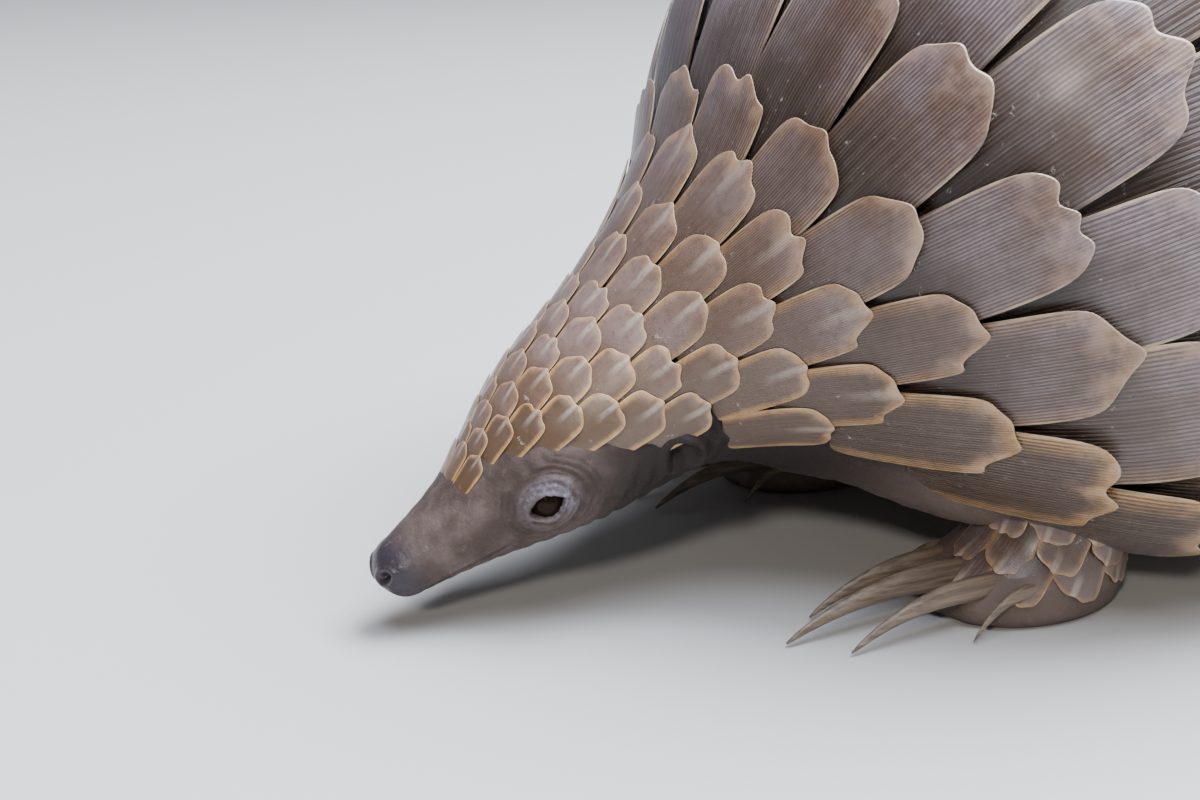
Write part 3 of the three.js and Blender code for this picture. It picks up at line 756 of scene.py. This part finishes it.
def body_scale(coat, ring, degrees, rng):
    """A scale of a ring of the trunk or the tail."""
    t = coat.at(ring)
    width = coat.width(t)
    half = HALF_WIDTH * coat.step * (1 + 0.03 * rng.uniform(-1, 1))
    length = 1 + 0.04 * rng.uniform(-1, 1)
    neck = float(smooth(2.6, 4.2, t) * smooth(7.2, 5.6, t))
    high = TIP_LIFT * width * (1 + 0.12 * rng.uniform(-1, 1) + 1.6 * neck)
    low = ROOT_LIFT * width
    root = raised(coat.at(ring + ROOT_AT), degrees, low)
    tip = raised(coat.at(ring + TIP_AT * length), degrees, high)
    turns = degrees + np.array([-half, 0, half])
    left, middle, right = raised(coat.at(ring + CORNERS_AT), turns, (low + high) / 2)
    flank = float(smooth(46, 6, ramp(SCALE_REACH, t) - abs(degrees))) if coat is TRUNK else 0.25
    fore = float(smooth(5.6, 3.6, coat.at(ring + 1)))
    return placed_shield(root, tip, left, right, middle, width, rng, flank=flank, fore=fore)


def body_scales(coat, first, last, seed):
    rng = np.random.default_rng(seed)
    rows = []
    for ring in range(first, min(last, len(coat.places))):
        reach = ramp(SCALE_REACH, coat.places[ring]) + 1e-6
        around = math.floor(180 / coat.step)
        for k in range(-around - 1, around + 1):
            degrees = (k + (ring % 2) * 0.5) * coat.step
            if abs(degrees) <= reach and degrees > -180:
                rows.append(body_scale(coat, ring, degrees, rng))
    return rows


# %% Points for the legs
LEG_ROWS = {"fore": (38, 20, 6, 12), "hind": (92, 18, 9, 17)}  # highest and lowest row, spacing, a width
LEG_SCALED = (20, 200)  # the turns between which a leg has scales, from its back round its outer side
LEG_MIDDLE = 115  # the turn of the middle column of scales
LEG_TIP_AT = 2.1  # rows from a scale's root to its tip


def leg_table(kind):
    """The sections of a leg from the floor up."""
    return np.array(LEGS[kind], float)[::-1]


def leg_point(kind, side, z, turn, lift):
    """A point on a leg's outline at height z and a turn in degrees from its back, raised by lift."""
    rows = leg_table(kind)
    x, y, along, across = (np.interp(z, rows[:, 2], rows[:, k]) for k in (0, 1, 3, 4))
    c, s = math.cos(math.radians(turn)), math.sin(math.radians(turn))
    return np.array([x + (along + lift) * c, -side * (y + (across + lift) * s), z])


def leg_scales(kind, side, seed):
    """Rows of small scales down the outer side of a leg."""
    rng = np.random.default_rng(seed)
    top, bottom, spacing, width = LEG_ROWS[kind]
    table = leg_table(kind)
    rows = []
    for level, z in enumerate(np.arange(top, bottom - 0.1, -spacing)):
        step = math.degrees(width / np.interp(z, table[:, 2], table[:, 3:].mean(axis=1)))
        low = ROOT_LIFT * width
        for k in range(-5, 6):
            turn = LEG_MIDDLE + (k + 0.5 * (level % 2)) * step
            if not LEG_SCALED[0] < turn < LEG_SCALED[1]:
                continue
            high = TIP_LIFT * width * (1 + 0.1 * rng.uniform(-1, 1))
            root = leg_point(kind, side, z, turn, low)
            tip = leg_point(kind, side, z - LEG_TIP_AT * spacing, turn, high)
            left, right, middle = (
                leg_point(kind, side, z - spacing, turn + way * step * side, (low + high) / 2)
                for way in (-HALF_WIDTH, HALF_WIDTH, 0)
            )
            rows.append(placed_shield(root, tip, left, right, middle, width, rng, flank=0.5, fore=0.2))
    return rows


# %% The tree that sets scales
INPUTS = {"Points": "Geometry", "Shields": "Collection", "Size": "Float", "Bend": "Float", "Horn": "Material"}


def scale_tree():
    tree = bpy.data.node_groups.new("set scales", "GeometryNodeTree")
    for name, kind in INPUTS.items():
        socket = tree.interface.new_socket(name, in_out="INPUT", socket_type=f"NodeSocket{kind}")
        if kind == "Float":
            socket.default_value = 1
    tree.interface.new_socket("Scales", in_out="OUTPUT", socket_type="NodeSocketGeometry")
    new, link = tree.nodes.new, tree.links.new
    given, made = new("NodeGroupInput"), new("NodeGroupOutput")

    def read(name, kind="FLOAT"):
        node = new("GeometryNodeInputNamedAttribute")
        node.data_type = kind
        node.inputs["Name"].default_value = name
        return next(s for s in node.outputs if s.enabled and s.name == "Attribute")

    def calculate(operation, *values):
        node = new("ShaderNodeMath")
        node.operation = operation
        for socket, value in zip(node.inputs, values):
            if isinstance(value, (int, float)):
                socket.default_value = value
            else:
                link(value, socket)
        return node.outputs[0]

    def stretch(vector, amount):
        node = new("ShaderNodeVectorMath")
        node.operation = "SCALE"
        link(vector, node.inputs[0])
        link(amount, node.inputs["Scale"])
        return node.outputs[0]

    kinds = new("GeometryNodeCollectionInfo")
    kinds.inputs["Separate Children"].default_value = True
    kinds.inputs["Reset Children"].default_value = True
    link(given.outputs["Shields"], kinds.inputs["Collection"])
    turned = new("FunctionNodeEulerToRotation")
    link(read("turn", "FLOAT_VECTOR"), turned.inputs[0])
    place = new("GeometryNodeInstanceOnPoints")
    cloud = new("GeometryNodeMeshToPoints")
    link(given.outputs["Points"], cloud.inputs["Mesh"])
    link(cloud.outputs[0], place.inputs["Points"])
    link(kinds.outputs[0], place.inputs["Instance"])
    place.inputs["Pick Instance"].default_value = True
    link(read("shape", "INT"), place.inputs["Instance Index"])
    link(turned.outputs[0], place.inputs["Rotation"])
    link(stretch(read("size", "FLOAT_VECTOR"), given.outputs["Size"]), place.inputs["Scale"])
    real = new("GeometryNodeRealizeInstances")
    link(place.outputs[0], real.inputs[0])

    across, down = read("across"), read("down")
    sideways = calculate("MULTIPLY", calculate("POWER", calculate("ABSOLUTE", across), 2), read("bow"))
    middle = calculate("SUBTRACT", calculate("MULTIPLY", down, 2), 1)
    along = calculate("SUBTRACT", 1, calculate("MULTIPLY", middle, middle))
    rise = calculate("SUBTRACT", calculate("MULTIPLY", along, read("arch")), sideways)
    rise = calculate("MULTIPLY", rise, given.outputs["Bend"])
    bend = new("GeometryNodeSetPosition")
    link(real.outputs[0], bend.inputs["Geometry"])
    link(stretch(read("out", "FLOAT_VECTOR"), rise), bend.inputs["Offset"])
    horn = new("GeometryNodeSetMaterial")
    link(bend.outputs[0], horn.inputs["Geometry"])
    link(given.outputs["Horn"], horn.inputs["Material"])
    link(horn.outputs[0], made.inputs[0])
    return tree


SET_SCALES = scale_tree()
print("the tree has", len(SET_SCALES.nodes), "nodes")

# %% [markdown]
# ## Horn
#
# The scales are dark horn with fine parallel ridges from the root to the free edge. The ridges are paler than
# the grooves and fade out on the worn tip, whose rim is thin and light. Old scales are scratched, and chalky
# dirt sits near the hidden root. The pattern follows each scale's own UV map, which runs across and down it,
# and the values that the points carried change the tone from one scale to the next.

# %% Ridges of the horn
horn = Finish("horn")
coordinates = horn.node("ShaderNodeUVMap", uv_map="Shield").outputs[0]
split = horn.node("ShaderNodeSeparateXYZ", {0: coordinates})
across, down = split.outputs[0], split.outputs[1]
place = horn.node("ShaderNodeTexCoord").outputs["Object"]
tone, flank = horn.attribute("tone"), horn.attribute("flank")
fore, small = horn.attribute("fore"), horn.attribute("small")

wobble = horn.noise(place, 60, 3)
lines = horn.plus(horn.times(across, 205), horn.times(wobble, 5))
stripe = horn.math("SINE", lines)
lines = horn.plus(horn.times(across, 470), horn.times(wobble, 9))
fine = horn.math("SINE", lines)
ridges = horn.spread(horn.plus(stripe, horn.times(fine, 0.4)), -1.1, 1.1)
worn = horn.noise(place, 160, 5, 0.6)
free = horn.spread(horn.plus(down, horn.times(worn, 0.3)), 0.92, 1.2)
ridged = horn.times(horn.minus(1, free), horn.minus(1, small))

# %% Colours of the horn
patches = horn.noise(place, 45, 4, 0.6)
# painted shade and darker horn: the part near the hidden root, under the overlapping scales, is dark
dark_root_and_shade = horn.mix(tone, rgb(0.022, 0.011, 0.007), rgb(0.048, 0.026, 0.016))
middle = horn.mix(horn.spread(patches, 0.35, 0.65), rgb(0.160, 0.090, 0.064), rgb(0.255, 0.192, 0.205))
reach = horn.plus(down, horn.times(patches, 0.5))
colour = horn.mix(horn.spread(reach, 0.48, 1.08), dark_root_and_shade, middle)
mauve = horn.mix(patches, rgb(0.105, 0.056, 0.036), rgb(0.220, 0.145, 0.120))
colour = horn.mix(horn.times(fore, 0.6), colour, mauve)

from_middle = horn.math("ABSOLUTE", horn.minus(horn.times(across, 2), 1))
edge_across = horn.minus(1, from_middle)
edge = horn.math("MINIMUM", edge_across, horn.times(horn.minus(1, down), 2.6))
# painted shade: the scales of the lower flank are darkened, as the light falls from above
colour = horn.mix(horn.times(flank, 0.85), colour, rgb(0.040, 0.022, 0.012))
amber = horn.mix(patches, rgb(0.32, 0.145, 0.040), rgb(0.60, 0.350, 0.130))
width = horn.spread(small, 0, 1, 0.22, 0.12)
near_edge = horn.spread(horn.minus(edge, horn.times(worn, 0.35)), -0.15, width, 1, 0.1)
warm = horn.math("MINIMUM", horn.plus(flank, horn.times(fore, 0.55)), 1)
colour = horn.mix(horn.times(warm, near_edge), colour, amber)
off_middle = horn.math("ABSOLUTE", horn.minus(across, horn.spread(wobble, 0, 1, 0.42, 0.58)))
crease = horn.times(horn.spread(off_middle, 0.02, 0.11, 1, 0), horn.spread(down, 0.5, 0.85))
crease = horn.times(crease, horn.spread(small, 0, 0.5))
colour = horn.mix(horn.times(crease, 0.5), colour, rgb(0.50, 0.42, 0.34))
mottled = horn.times(horn.spread(horn.noise(place, 520, 5, 0.7), 0.45, 0.7), 0.4)
colour = horn.mix(mottled, colour, rgb(0.060, 0.036, 0.026))
groove = horn.times(horn.minus(1, ridges), ridged)
colour = horn.mix(horn.times(groove, 0.72), colour, rgb(0.016, 0.009, 0.006))

# %% Worn rim, dirt and scratches
rim = horn.spread(horn.minus(edge, horn.times(worn, 0.09)), -0.03, 0.02, 1, 0)
rim = horn.times(rim, horn.spread(down, 0.5, 0.75))
colour = horn.mix(horn.times(rim, 0.75), colour, rgb(0.62, 0.46, 0.28))
tip = horn.times(free, horn.spread(worn, 0.42, 0.6))
colour = horn.mix(horn.times(tip, 0.55), colour, rgb(0.36, 0.24, 0.17))
crusts = horn.noise(place, 380, 6, 0.75)
flecks = horn.times(horn.spread(crusts, 0.62, 0.7), horn.spread(down, 0.75, 0.35))
colour = horn.mix(horn.times(flecks, 0.75), colour, rgb(0.52, 0.50, 0.47))
stretched = horn.node("ShaderNodeMapping", {"Vector": place, "Scale": (1, 5, 5)}).outputs[0]
scratches = horn.spread(horn.noise(stretched, 210, 5, 0.8, 1.5), 0.62, 0.72)
colour = horn.mix(horn.times(scratches, 0.28), colour, rgb(0.33, 0.29, 0.26))

# %% Relief and shine of the horn
relief = horn.plus(horn.times(ridges, ridged), horn.times(worn, 0.5))
relief = horn.plus(relief, horn.times(crease, 0.8))
normal = horn.bump(relief, 0.7, 0.0007)
normal = horn.bump(crusts, 0.2, 0.0003, normal)
roughness = horn.spread(worn, 0.3, 0.75, 0.28, 0.46)
HORN = horn.end(
    Base_Color=colour, Roughness=roughness, Normal=normal, Coat_Weight=0.5, Coat_Roughness=0.3,
    Sheen_Weight=0.07, Sheen_Roughness=0.35, Sheen_Tint=rgb(0.72, 0.76, 1),
)
print("the horn's material has", len(HORN.node_tree.nodes), "nodes")

# %% [markdown]
# ## The coat of scales
#
# The coat is made in runs, so that no piece grows too heavy: head, neck, three stretches of the trunk, two
# of the tail, and one for each leg. Each run becomes a plain mesh. Its bake map gives every scale a cell of
# its own, laid out by ring and by turn, with the hidden underside in a corner of the cell. A subdivision
# rounds the free edges.


# %% Build the runs
def point_cloud(name, rows):
    obj = mesh_object(name, [row["co"] for row in rows], [])
    for key, kind in (("turn", "FLOAT_VECTOR"), ("size", "FLOAT_VECTOR"), ("out", "FLOAT_VECTOR")):
        attribute = obj.data.attributes.new(key, kind, "POINT")
        attribute.data.foreach_set("vector", np.array([row[key] for row in rows], np.float32).ravel())
    shape = obj.data.attributes.new("shape", "INT", "POINT")
    shape.data.foreach_set("value", [row["shape"] for row in rows])
    for key in ("bow", "arch", "tone", "flank", "fore", "small"):
        store(obj, key, [row[key] for row in rows])
    store(obj, "number", np.arange(len(rows)))
    return obj


def bake_map(obj, count):
    """A UV map with one cell for each scale: its outside in most of the cell, its underside in a corner."""
    mesh = obj.data
    numbers = np.zeros(len(mesh.vertices), np.float32)
    mesh.attributes["number"].data.foreach_get("value", numbers)
    uv = np.zeros(len(mesh.loops) * 2, np.float32)
    mesh.uv_layers["Shield"].data.foreach_get("uv", uv)
    uv = uv.reshape(-1, 2)
    across = math.ceil(math.sqrt(count))
    cell = numbers[loop_vertices(mesh)].round().astype(int)
    corner = np.stack([cell % across, cell // across], axis=1) / across
    faces = len(shield_faces())
    order = np.arange(len(mesh.polygons)) % faces
    top = (order < 2 * COLUMNS_ACROSS * ROWS_DOWN) & (order % 2 == 0)
    sizes = np.array([p.loop_total for p in mesh.polygons])
    on_top = np.repeat(top, sizes)
    outside, underside = 0.04 + uv * np.array([0.92, 0.76]), 0.04 + uv * 0.1 + np.array([0, 0.82])
    inside = np.where(on_top[:, None], outside, underside)
    baked = mesh.uv_layers.new(name="OFBake")
    baked.data.foreach_set("uv", (corner + inside / across).astype(np.float32).ravel())


def set_coat(name, rows):
    obj = point_cloud(name, rows)
    modifier = obj.modifiers.new("scales", "NODES")
    modifier.node_group = SET_SCALES
    inputs = [s for s in SET_SCALES.interface.items_tree if s.in_out == "INPUT"]
    sockets = {s.name: s.identifier for s in inputs}
    modifier[sockets["Shields"]] = shields
    modifier[sockets["Size"]] = 1.0
    modifier[sockets["Bend"]] = 1.0
    modifier[sockets["Horn"]] = HORN
    plain(obj)
    bake_map(obj, len(rows))
    finer = obj.modifiers.new("rounded", "SUBSURF")
    finer.levels = finer.render_levels = 2
    print(name, "has", len(rows), "scales and", len(obj.data.polygons), "faces")
    return obj


RUN_SEED, LEG_SEED = 70, 90
RUNS = {
    "scales_head": (TRUNK, 0, 10),
    "scales_neck": (TRUNK, 10, 15),
    "scales_shoulders": (TRUNK, 15, 19),
    "scales_back": (TRUNK, 19, 23),
    "scales_rump": (TRUNK, 23, 27),
    "scales_tail_base": (TAIL, 0, 5),
    "scales_tail_tip": (TAIL, 5, 11),
}
coats = [set_coat(name, body_scales(*run, RUN_SEED + n)) for n, (name, run) in enumerate(RUNS.items())]
for kind in LEG_ROWS:
    for n, (word, side) in enumerate(SIDES.items()):
        coats.append(set_coat(f"scales_{kind}leg_{word}", leg_scales(kind, side, LEG_SEED + n)))

# %% [markdown]
# ## Eyes
#
# A pangolin's eye is small, dark and wet. A sphere with a slightly bulging front is set in each socket, so
# the lids close over its edge. Nearly black brown with a clear coat gives the small sharp highlight.

# %% Eyes
wet = Finish("eye")
shade = wet.noise(wet.node("ShaderNodeTexCoord").outputs["Object"], 700, 3)
colour = wet.mix(shade, rgb(0.006, 0.004, 0.003), rgb(0.022, 0.012, 0.008))
EYE = wet.end(
    Base_Color=colour, Roughness=0.12, Coat_Weight=0.1, Coat_Roughness=0.03, Specular_IOR_Level=0.02,
)
POLE = 0.02  # radians from an eye's pole to its first ring
tilt = np.linspace(POLE, math.pi - POLE, 25)
spin = np.linspace(0, 2 * math.pi, 36, endpoint=False)
eyes = []
for word, side in SIDES.items():
    axes = np.array(directions(EYE_T, EYE_DEG * side))
    centre = raised(EYE_T, EYE_DEG * side, -EYE_SUNK)
    rings = []
    for a in tilt:
        bulge = EYE_RADIUS + 0.2 * math.exp(-((a / 0.8) ** 2))
        flat = bulge * math.sin(a)
        ring = [flat * math.cos(s) * axes[0] + flat * math.sin(s) * axes[1] for s in spin]
        rings.append(centre + np.array(ring) + bulge * math.cos(a) * axes[2])
    eye = outwards(mesh_object(f"eye_{word}_wet", tube_points(rings), tube_faces(len(rings), len(spin))))
    eye.data.materials.append(EYE)
    eyes.append(eye)
print(len(eyes), "eyes of", len(eye.data.polygons), "faces each")

# %% [markdown]
# ## Claws
#
# The fore claws are long, curved digging tools, and the hind ones short blunt nails. Each is swept along a
# curve from inside the toe to a thin tip just over the floor, flat below and arched above.


# %% Claws
ROOT_HIGH, ROOT_INSET = 8.5, 8  # of a claw's root: its height, and how deep it lies in the toe


def claw_rings(kind, spec, side):
    """Rings of points along one claw."""
    sideways, length, thick = spec
    bend_high, spread, tip_share = CLAW_FORM[kind]
    foot = LEGS[kind][-3]
    root_x = foot[0] - foot[3] * math.sqrt(1 - (sideways / foot[4]) ** 2) + ROOT_INSET
    reach = length + ROOT_INSET
    ends = np.array([
        (root_x, -side * (foot[1] + sideways), ROOT_HIGH),
        (root_x - reach * 0.55, -side * (foot[1] + sideways * (1 + spread * 0.6)), bend_high),
        (root_x - reach, -side * (foot[1] + sideways * (1 + spread)), thick * tip_share + 0.6),
    ])
    turn = np.linspace(0, 2 * math.pi, 20, endpoint=False)
    rings = []
    for f in np.linspace(0, 1, 17):
        at = (1 - f) ** 2 * ends[0] + 2 * f * (1 - f) * ends[1] + f * f * ends[2]
        way = unit((1 - f) * (ends[1] - ends[0]) + f * (ends[2] - ends[1]))
        out = unit(np.array([0, 1, 0]) - way * way[1])
        up = np.cross(way, out)
        up = up if up[2] > 0 else -up
        half = thick * (1 + (tip_share - 1) * f**1.3) * (1 if f < 0.97 else 0.6)
        flat = np.where(np.cos(turn) < 0, 0.72, 1) * half
        ring = np.outer(np.cos(turn) * flat, up) + np.outer(np.sin(turn) * half * 0.68, out)
        rings.append(at + ring)
    return rings


nail = Finish("claw")
place = nail.node("ShaderNodeTexCoord").outputs["Object"]
stretched = nail.node("ShaderNodeMapping", {"Vector": place, "Scale": (0.25, 8, 8)}).outputs[0]
streaks = nail.noise(stretched, 120, 5, 0.7)
colour = nail.mix(nail.spread(streaks, 0.3, 0.7), rgb(0.085, 0.058, 0.040), rgb(0.22, 0.165, 0.115))
CLAW = nail.end(Base_Color=colour, Roughness=0.42, Normal=nail.bump(streaks, 0.4, 0.0004))
claws = []
for kind in CLAWS:
    for word, side in SIDES.items():
        points, faces = [], []
        for spec in CLAWS[kind]:
            rings = claw_rings(kind, spec, side)
            faces += tube_faces(len(rings), len(rings[0]), sum(map(len, points)))
            points.append(tube_points(rings))
        claw = outwards(mesh_object(f"claws_{kind}_{word}", np.concatenate(points), faces))
        claw.data.materials.append(CLAW)
        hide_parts(*[f"{kind}foot_{word}_claw_{n}" for n in range(1, 6)])
        claws.append(claw)
print(len(claws), "sets of claws of", len(claw.data.polygons), "faces each")

# %% [markdown]
# ## Tie the pieces to the frame
#
# The animal is a still model, so everything rides on its one body. The skin stands for the nodes of flesh,
# and each run of scales goes with it.

# %% Ride and replace
PAIRED = ("ear", "foreleg", "forefoot", "hindleg", "hindfoot")
FLESH = [f"{part}_{word}" for part in PAIRED for word in SIDES]
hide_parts("head", "neck", "torso", "tail_base", "tail_tip", *FLESH)
for eye, word in zip(eyes, SIDES):
    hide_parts(f"eye_{word}")
pieces = [body, *eyes, *claws, *coats]
for piece in pieces:
    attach(piece, "root")
for obj in list(shields.objects):
    bpy.data.objects.remove(obj)
bpy.data.collections.remove(shields)
print(len(pieces), "pieces ride on the body")

# %% [markdown]
# ## Floor, light and camera
#
# The animal stands on a plain pale floor in soft light. Two large lamps above give the bluish light of the
# sky, a small warm one from the left brings out the ridges, and a weak one from the right opens the shadows.
# The camera's place was found by fitting the outline of the model to the photograph, with a lens a little
# longer than the eye's.

# %% Stage
floor = bpy.data.meshes.new("floor")
floor.from_pydata([(-6, -6, 0), (6, -6, 0), (6, 6, 0), (-6, 6, 0)], [], [(0, 1, 2, 3)])
paper = Finish("pale floor")
floor.materials.append(paper.end(Base_Color=rgb(0.50, 0.485, 0.465), Roughness=0.9))
add_object("floor", floor)


def aim(obj, place, towards):
    obj.location = place
    obj.rotation_euler = (Vector(towards) - Vector(place)).to_track_quat("-Z", "Y").to_euler()


def lamp(name, place, towards, size, power, colour=(1, 1, 1)):
    data = bpy.data.lights.new(name, "AREA")
    data.shape, data.size, data.energy, data.color = "DISK", size, power, colour
    aim(add_object(name, data), place, towards)


lamp("sky", (0.55, -0.15, 1.95), (-0.15, 0, 0.1), 1.7, 180, (0.84, 0.90, 1))
lamp("second sky", (-0.5, -0.6, 1.9), (-0.2, 0, 0.1), 1.4, 48, (0.78, 0.85, 1))
lamp("side", (-1.5, -1.3, 1.1), (-0.25, 0, 0.08), 0.22, 16, (1, 0.93, 0.84))
lamp("fill", (0.9, -1.8, 0.7), (0, 0, 0.1), 1.2, 4)
world = bpy.data.worlds.new("studio")
world.use_nodes = True
world.node_tree.nodes["Background"].inputs["Color"].default_value = rgb(0.86, 0.9, 1)
world.node_tree.nodes["Background"].inputs["Strength"].default_value = 0.17
bpy.context.scene.world = world
print("the stage has", len(bpy.data.lights), "lamps")

# %% Camera
CAMERA_AT, CAMERA_TO = (-0.5557, -0.3618, 0.1807), (-0.3806, -0.0028, 0.0510)
camera = bpy.data.cameras.new("camera")
camera.lens, camera.sensor_width, camera.clip_start = 52, 36, 0.01
viewer = add_object("camera", camera)
aim(viewer, CAMERA_AT, CAMERA_TO)
bpy.context.scene.camera = viewer
print("the camera is", round((Vector(CAMERA_TO) - Vector(CAMERA_AT)).length, 3), "metres away")
